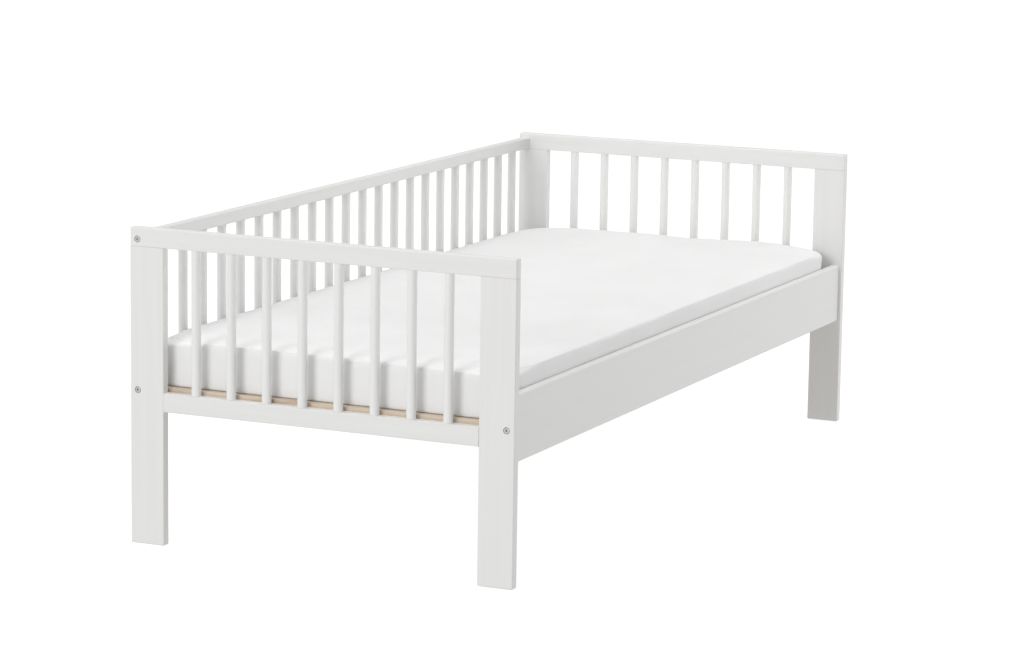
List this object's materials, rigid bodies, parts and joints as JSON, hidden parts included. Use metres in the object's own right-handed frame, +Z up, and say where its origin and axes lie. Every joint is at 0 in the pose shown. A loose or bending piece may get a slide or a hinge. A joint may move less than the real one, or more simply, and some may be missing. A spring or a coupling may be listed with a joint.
{
  "type": "toddler bed",
  "caption": "Low single bed for a toddler: two spindled end frames, a spindled guard along one long side, a plain side board on the open side, a slatted base and a mattress.",
  "frame": {"origin": "on the floor, under the centre of the bed", "axes": "+X along the bed from the foot end to the head end, +Y across it towards the guard, +Z up; the open side with the plain side board faces -Y"},
  "size_m": [1.666, 0.75, 0.57],
  "materials": {
    "white_painted_wood": "satin white paint over solid pine, a faint grain showing through",
    "pine": "planed, untreated",
    "beech": "turned, untreated",
    "mattress_cover": "soft white cover over foam",
    "webbing": "woven tape",
    "zinc_steel": "zinc plated"
  },
  "bodies": {
    "bed_frame": {"barrel_nuts": "zinc_steel", "bolts": "zinc_steel", "foot_bottom_rail": "white_painted_wood", "foot_post_guard_side": "white_painted_wood", "foot_post_open_side": "white_painted_wood", "foot_spindle_1": "white_painted_wood", "foot_spindle_2": "white_painted_wood", "foot_spindle_3": "white_painted_wood", "foot_spindle_4": "white_painted_wood", "foot_spindle_5": "white_painted_wood", "foot_spindle_6": "white_painted_wood", "foot_spindle_7": "white_painted_wood", "foot_spindle_8": "white_painted_wood", "foot_top_rail": "white_painted_wood", "frame_dowels": "beech", "guard_bottom_rail": "white_painted_wood", "guard_spindles": "white_painted_wood", "guard_top_rail": "white_painted_wood", "head_bottom_rail": "white_painted_wood", "head_post_guard_side": "white_painted_wood", "head_post_open_side": "white_painted_wood", "head_spindle_1": "white_painted_wood", "head_spindle_2": "white_painted_wood", "head_spindle_3": "white_painted_wood", "head_spindle_4": "white_painted_wood", "head_spindle_5": "white_painted_wood", "head_spindle_6": "white_painted_wood", "head_spindle_7": "white_painted_wood", "head_spindle_8": "white_painted_wood", "head_top_rail": "white_painted_wood", "ledge_screws": "zinc_steel", "rail_dowels": "beech", "side_board": "white_painted_wood", "slat_01": "pine", "slat_02": "pine", "slat_03": "pine", "slat_04": "pine", "slat_05": "pine", "slat_06": "pine", "slat_07": "pine", "slat_08": "pine", "slat_09": "pine", "slat_10": "pine", "slat_11": "pine", "slat_12": "pine", "slat_13": "pine", "slat_14": "pine", "slat_ledge_guard_side": "pine", "slat_ledge_open_side": "pine", "slat_screws": "zinc_steel", "slat_tapes": "webbing"},
    "mattress": {"mattress": "mattress_cover"}
  },
  "joints": [
    {"name": "mattress_lift", "type": "slide", "parent": "bed_frame", "child": "mattress", "axis": [0, 0, 1], "range_m": [0, 0.35]}
  ]
}
